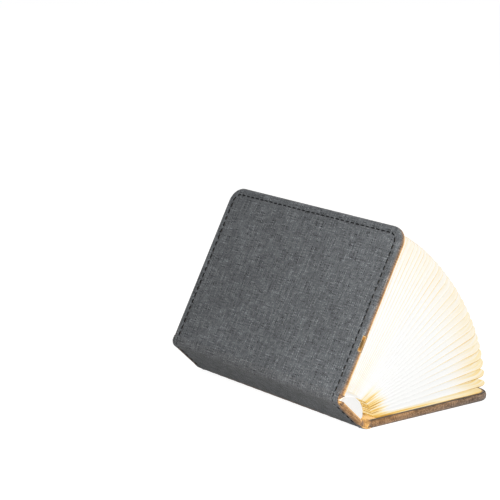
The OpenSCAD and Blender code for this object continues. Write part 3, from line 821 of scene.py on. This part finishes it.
def hem(name, place, cloth, depth, lift):
    """Wedge of folded cloth that fills the corner between a board's end and a hinge line, mitred
    so that two of them meet when the book is closed. place(d, y, s) gives the point at d mm
    into the book and s mm from the hinge line."""
    skin, board = 0.72, HINGE_W - 0.02
    # (d, s, painted glow of the lamp's light between the ends, and at the ends)
    section = [(skin, board, 0.3, 0.4), (skin, 2.2, 0.4, 0.5), (skin + 0.08, 1.78, 0.45, 0.8),
               (skin + 0.33, 1.70, 0.5, 0.95), (1.6, 2.1, 0.6, 0.95),
               (depth - 1.1, depth - 0.62, 0.75, 0.75), (depth - 0.42, depth + 0.05, 0.9, 0.55),
               (depth - 0.14, HINGE_W - 0.4, 1.0, 0.45), (depth - 0.08, board, 1.0, 0.4)]
    middle = np.mean([row[:2] for row in section], axis=0)
    rounding = [(-HALF_L, 0.30), (-HALF_L + 0.10, 0.12), (-HALF_L + 0.32, 0.0)]
    stations = rounding + [(y, 0.0) for y in np.linspace(-HALF_L + 4, HALF_L - 4, 9)]
    stations += [(-y, inset) for y, inset in reversed(rounding)]
    points, uv, painted_glow = [], [], []
    for y, inset in stations:
        at_end = abs(y) > HALF_L - 0.4
        for d, s, w, end_w in section:
            to_middle = middle - (d, s)
            step = to_middle / np.hypot(*to_middle) * inset
            points.append(place(d + step[0], y, s if s == board else s + step[1]))
            uv.append((y + math.copysign(d, y), lift + s))
            painted_glow.append(end_w if at_end else w)
    return piece(name, points, tube_faces(len(stations), len(section)), cloth, uv, {"painted_glow": painted_glow})


def hinge_stitches(name, matrix, opening, thread):
    """Three stitches across the hinge cloth at each end."""
    line = HingeLine(opening)
    runs = []
    for side in (-1, 1):
        for middle in (0.16, 0.5, 0.84):
            def place(a, x, b, side=side, middle=middle):
                at, inward = line.at(line.length * middle + a)
                at = at + inward * x
                return placed(matrix, [(at[0], side * STITCH_HALF + b, at[1])])[0]
            runs += stitch(place, HINGE_STITCH_L, 0.2)
    return tubes(name, runs, thread)


# ---- pages ----

def page_u(k):
    """Where page k stands between the covers when the book is closed."""
    first = COVER_T + STACK_MARGIN
    return first + (BOOK_T - 2 * first) * (k - 1) / (PAGES - 1)


def page_z0(k):
    """Where page k starts, clear of the diffuser's curve."""
    return BAR_ZC + math.sqrt((BAR_R + FOLD_GAP) ** 2 - (page_u(k) - BOOK_T / 2) ** 2)


def page_depth(k):
    return PAGE_D + FORE_EDGE_EVEN * (BAR_H + FOLD_GAP - page_z0(k))


def page_curl(k):
    """How far a page's outer fold curls towards the next page. It falls off evenly towards the
    front cover, so that the pages still nest when the book is closed."""
    return min(CURL, 0.7 + 0.9 * k, 0.35 + 0.233 * (PAGES - k))


def page_frame(k):
    """The spine's frame turned about page k's hinge line, as far as the rest pose opens it."""
    share = k / (PAGES + 1)
    crowded = (1 - math.cos(math.pi * share)) / 2
    u = BOOK_T * (PIVOT_BEND * crowded + (1 - PIVOT_BEND) * share)
    z = PIVOT_H * math.sin(math.pi * share)
    if k <= BACK_PAGES:
        turn = -BACK_OPEN * (BACK_PAGES + 0.5 - k) / BACK_PAGES
    else:
        turn = FRONT_OPEN * (k - BACK_PAGES - 0.5) / FRONT_PAGES
    return SPINE @ Matrix.Translation((-u, 0, z)) @ turn_y(-turn) @ Matrix.Translation((u, 0, -z))


def paper_sheet(name, matrix, x_middle, z0, depth, corner, side, thick, materials, wave=1.0, curl=0.0):
    """A folded double sheet: slightly wavy, thicker at its inner fold, with a round outer fold that
    curls towards the front cover, and rounded corners. Material 0 is the face and 1 the edge."""
    rows = np.concatenate((np.linspace(0, depth - 10, 12)[:-1], np.linspace(depth - 10, depth - corner, 7),
                           depth - corner + corner * np.sin(np.linspace(0, math.pi / 2, 11))[1:]))
    ends = np.linspace(-1, 1, 25)
    ends = np.sign(ends) * (1 - (1 - np.abs(ends)) ** 1.5)
    n, m = len(rows), len(ends)
    size, bulge = n * m, 0.07
    points, uv = [], []
    for layer in (-1, 0, 1):
        for r in rows:
            width = PAGE_HALF
            if r > depth - corner:
                width += math.sqrt(max(corner ** 2 - (r - depth + corner) ** 2, 0)) - corner
            out = 0
            if layer == 0:
                width += bulge
                out = bulge if r == rows[-1] else 0
            tip = max(0.0, 1 - (depth - r) / CURL_L)
            half_thick = thick / 2 * (1.35 - 0.35 * min(1, r / 20)) * (1 - 0.4 * tip)
            for y in width * ends:
                bend = wave * (0.10 * math.sin(0.131 * y + 0.6) * (r / depth) ** 1.4
                               + 0.06 * math.sin(0.33 * y + 0.071 * r) * (r / depth))
                points.append((x_middle + bend + layer * half_thick - curl * tip ** 3, y, z0 + r + out))
                uv.append((r * PAGE_D / depth, y))
    faces, kinds = [], []
    for layer in (0, 2):
        for f in strip_faces(n, m):
            faces.append(tuple(layer * size + i for i in f))
            kinds.append(0)
    rim = list(range(m)) + [i * m + m - 1 for i in range(1, n)]
    rim += [(n - 1) * m + j for j in range(m - 2, -1, -1)] + [i * m for i in range(n - 2, 0, -1)]
    for a, b in zip(rim, rim[1:] + rim[:1]):
        for layer in (0, size):
            faces.append((layer + a, layer + b, layer + size + b, layer + size + a))
            kinds.append(1)
    used = sorted({i for f in faces for i in f})    # of the middle layer, only the rim
    index = {old: new for new, old in enumerate(used)}
    faces = [tuple(index[i] for i in f) for f in faces]
    points = [points[i] for i in used]
    uv = [uv[i] for i in used]
    return piece(name, placed(matrix, points), faces, materials, uv,
                 {"side": [side] * len(points)}, kinds, sharp=70)


def binding(name, materials):
    """The pages' inner folds, glued side by side along the diffuser's crown."""
    per_fold = 8
    steps = (PAGES + 1) * per_fold + 1
    reach = math.asin((BAR_W / 2 - 0.6) / BAR_R)
    stations = np.linspace(-PAGE_HALF + 1.2, PAGE_HALF - 1.2, 9)
    points, uv, side = [], [], []
    for y in stations:
        for layer in (0, 1):
            for i in range(steps):
                a = -reach + 2 * reach * i / (steps - 1)
                ridge = abs(math.sin(math.pi * i / per_fold))
                r = BAR_R + 0.02 + (0.10 + 0.24 * ridge) * layer
                points.append((-BOOK_T / 2 + r * math.sin(a), y, BAR_ZC + r * math.cos(a)))
                uv.append((8.0 + 3 * ridge, y))
                side.append(1 - i / (steps - 1))
    return piece(name, placed(SPINE, points), slab_faces(len(stations), steps), materials, uv,
                 {"side": side})


# ---- lead and socket ----

def soft_path(rough, steps=6):
    """A smooth curve through rough's points, with new points between them."""
    fine = [rough[0]]
    ends = [rough[0], *rough, rough[-1]]
    for p in zip(ends, ends[1:], ends[2:], ends[3:]):
        square = 2 * p[0] - 5 * p[1] + 4 * p[2] - p[3]
        cube = 3 * p[1] - p[0] - 3 * p[2] + p[3]
        for t in np.linspace(0, 1, steps + 1)[1:]:
            fine.append(p[1] + 0.5 * ((p[2] - p[0]) * t + square * t ** 2 + cube * t ** 3))
    return np.array(fine)


def lamp_lead(name, material):
    """Flat lead with a soft corner where it crosses the hinge, from the front cover to the bar."""
    cover = placed(FRONT, [(LEAD_X, 0, z) for z in (20.0, 16.0, 12.0, 8.0, 5.6, 4.2)])
    spine = placed(SPINE, [(-22.3, 0, 3.15), (-21.0, 0, 3.05), (-20.0, 0, 3.12), (-18.9, 0, 3.3),
                           (-18.2, 0, 3.9), (-17.5, 0, 4.4)])
    path = soft_path([*cover, *spine])
    ahead = np.gradient(path, axis=0)
    ahead /= np.linalg.norm(ahead, axis=1)[:, None]
    section = [(-1, 0), (-0.9, 1), (0.9, 1), (1, 0), (0.9, -1), (-0.9, -1)]
    points = []
    for p, normal in zip(path, np.cross(ahead, (0, 1, 0))):
        for across, out in section:
            x, _, z = p + normal * (out * LEAD_T / 2 * MM)
            points.append((x, (LEAD_Y + across * LEAD_W / 2) * MM, z))
    return piece(name, points, tube_faces(len(path), len(section)), [material], sharp=60)


def socket_pocket(wrap):
    """Cuts the socket's opening through the cloth at the front cover's tail edge. Its walls take
    the wrap's second material."""
    half_w, half_h = (SOCKET_W + 0.6) / 2 - POCKET_R, (SOCKET_H + 0.4) / 2 - POCKET_R
    outline = []
    for cx, cz, start in ((1, 1, 0), (-1, 1, 90), (-1, -1, 180), (1, -1, 270)):
        for a in np.radians(np.linspace(start, start + 90, 5)):
            outline.append((COVER_T / 2 + cx * half_h + POCKET_R * math.cos(a),
                            SOCKET_Z + cz * half_w + POCKET_R * math.sin(a)))
    points = [(x, y, z) for y in (-HALF_L - 1, -HALF_L + POCKET_D) for x, z in outline]
    faces = tube_faces(2, len(outline))
    count = len(points)
    cutter = piece("cutter", placed(FRONT, points), faces, wrap.data.materials[:], [(0, 0)] * count,
                   {"painted_glow": [0.3] * count, "line": [0] * count}, [1] * len(faces))
    cut = wrap.modifiers.new("pocket", "BOOLEAN")
    cut.object = cutter
    cut.solver = "EXACT"
    mesh = bpy.data.meshes.new_from_object(wrap.evaluated_get(bpy.context.evaluated_depsgraph_get()))
    wrap.modifiers.clear()
    wrap.data = mesh
    bpy.data.objects.remove(cutter)


# ---- build ----

bpy.context.scene.view_settings.view_transform = "Standard"
camera()
world()
area_light("key", (0.55, -1.05, 1.0), 0.9, 9.0, (1.0, 0.985, 0.96))
area_light("fill", (-1.3, -0.5, 0.9), 1.2, 2.2, (0.96, 0.98, 1.0))
area_light("side", (-0.25, -0.34, 0.16), 0.14, 1.5, (1.0, 0.99, 0.97))

slate = linen("slate_linen")
hinge_linen = linen("hinge_linen")
rim_material = plastic("socket_rim", (0.20, 0.11, 0.035), (0.30, 0.17, 0.06), 0.7)
thread = thread_material()
face = page_material("page_paper")
edge = page_material("page_edge", edge=True)

# Nodes that keep their own solids take the material of their slot
carried = {
    "fibreboard": fibreboard(),
    "lining_paper": plastic("lining_paper", (0.030, 0.032, 0.036), (0.05, 0.052, 0.056), 0.8,
                            scale=2500.0),
    "diffuser_plastic": plastic("diffuser_plastic", (0.55, 0.54, 0.52), (0.60, 0.59, 0.57), 0.35,
                                ((0.90, 0.84, 0.70), (1.0, 0.96, 0.86), 0.85)),
    # Painted glow: the end cap is no lamp, but glows so that it reads pale.
    "end_cap_plastic": plastic("end_cap_plastic", (0.24, 0.24, 0.24), (0.27, 0.27, 0.27), 0.4,
                               ((0.51, 0.51, 0.50), (0.55, 0.55, 0.54), 1.0)),
    "magnet_nickel": metal("magnet_nickel", (0.62, 0.62, 0.64), (0.78, 0.78, 0.80), 0.2),
    "tray_aluminium": metal("tray_aluminium", (0.70, 0.71, 0.73), (0.82, 0.83, 0.84), 0.35),
    "led_board_white": circuit_board("led_board_white", (0.80, 0.81, 0.80), (0.55, 0.50, 0.36)),
    "chip_phosphor": plastic("chip_phosphor", (0.85, 0.62, 0.16), (0.92, 0.72, 0.24), 0.2,
                             ((1.0, 0.78, 0.42), (1.0, 0.86, 0.55), 1.2)),
    "screw_steel": metal("screw_steel", (0.42, 0.43, 0.45), (0.62, 0.63, 0.65), 0.3),
    "flex_film": plastic("flex_film", (0.34, 0.14, 0.025), (0.44, 0.20, 0.04), 0.3),
    "battery_foil": metal("battery_foil", (0.52, 0.53, 0.55), (0.70, 0.71, 0.73), 0.4, (8, 8, 8)),
    "lead_sleeve": plastic("lead_sleeve", (0.36, 0.02, 0.015), (0.46, 0.035, 0.025), 0.5),
    "board_green": circuit_board("board_green", (0.015, 0.10, 0.045), (0.10, 0.30, 0.14)),
    # Painted reflection: the socket's metal glows amber, as if it caught the lamp's light.
    "socket_steel": metal("socket_steel", (0.62, 0.47, 0.26), (0.80, 0.64, 0.38), 0.25, (1, 1, 1),
                          ((0.9, 0.52, 0.16), 0.22)),
    "black_plastic": plastic("black_plastic", (0.012, 0.011, 0.010), (0.025, 0.022, 0.020), 0.45),
}
for row in frame["record"]["subparts"]:
    if row["material_slot"] in carried:
        node = frame["nodes"][row["node"]]
        node.data.materials.clear()
        node.data.materials.append(carried[row["material_slot"]])

front_wrap = cover_wrap("front_cover_wrap", FRONT, [slate, rim_material], BOOK_T / 2, False)
socket_pocket(front_wrap)
back_wrap = cover_wrap("back_cover_wrap", BACK, [slate], -BOOK_T / 2, True)
for wrap, body, node in ((front_wrap, "front_cover", "front_cover_cloth"),
                         (back_wrap, "back_cover", "back_cover_cloth")):
    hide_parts(node)
    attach(wrap, body)
for name, matrix, body in (("front_cover", FRONT, "front_cover"), ("back_cover", BACK, "back_cover")):
    sewn = cover_stitches(name + "_thread", matrix, thread)
    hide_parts(name + "_stitching")
    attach(sewn, body)

spine = spine_wrap("spine_wrap", [slate])
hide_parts("spine_cloth")
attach(spine, "spine")
sewn = spine_stitches("spine_thread", thread)
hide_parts("spine_stitching")
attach(sewn, "spine")

for name, matrix, depth, lift, body in (("front_cover", FRONT, COVER_T, BOOK_T / 2, "front_cover"),
                                        ("back_cover", BACK, COVER_T, -BOOK_T / 2, "back_cover"),
                                        ("spine_front", SPINE, SPINE_T, -BOOK_T / 2, "spine"),
                                        ("spine_back", SPINE, SPINE_T, BOOK_T / 2, "spine")):
    def place(d, y, s, name=name, matrix=matrix):
        at = {"spine_front": (s - BOOK_T, y, d), "spine_back": (-s, y, d)}.get(name, (d, y, s))
        return placed(matrix, [at])[0]
    fold = hem(name + "_hem", place, [slate], depth, lift)
    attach(fold, body)

for name, matrix, opening, lift, outer_glow in (("front", FRONT, FRONT_OPEN, BOOK_T / 2, 0.0),
                                                ("back", BACK, BACK_OPEN, -BOOK_T / 2, 0.5)):
    strip, ends = hinge_cloth(name + "_hinge_strip", matrix, opening, [hinge_linen], lift, outer_glow)
    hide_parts(name + "_hinge_cloth")
    sewn = hinge_stitches(name + "_hinge_thread", matrix, opening, thread)
    for made in (strip, sewn):
        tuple(ends[0])
        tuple(ends[1])
        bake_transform(made)

lead = lamp_lead("lamp_ribbon", carried["flex_film"])
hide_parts("lamp_lead")
lead_ends = placed(FRONT, [(LEAD_X, 0, 6.0)])[0], placed(SPINE, [(-20.6, 0, 3.1)])[0]
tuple(lead_ends[0])
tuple(lead_ends[1])
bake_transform(lead)

for k in range(1, PAGES + 1):
    sheet = paper_sheet(f"leaf_{k:02d}", page_frame(k), -page_u(k), page_z0(k), page_depth(k),
                        PAGE_CORNER_R, (k - 1) / (PAGES - 1), PAGE_T, [face, edge], curl=page_curl(k))
    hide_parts(f"page_{k:02d}")
    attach(sheet, f"page_{k:02d}_body")
for name, matrix, side in (("front", FRONT, 1.0), ("back", BACK, -0.05)):
    sheet = paper_sheet(name + "_glued_leaf", matrix, COVER_T + PAGE_T / 2, 2 * HINGE_W,
                        COVER_W - END_LEAF_INSET - 2 * HINGE_W, CORNER_R - PAGE_INSET, side,
                        PAGE_T * 0.8, [face, edge], wave=0.0)
    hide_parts(name + "_end_leaf")
    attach(sheet, name + "_cover")
folds = binding("inner_folds", [face])
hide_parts("page_binding")
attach(folds, "spine")

bpy.ops.mesh.primitive_grid_add(x_subdivisions=8, y_subdivisions=8, size=6)
floor = bpy.context.object
floor.name = "floor"
floor.location.z = FLOOR_Z * MM
floor.data.materials.append(floor_material())
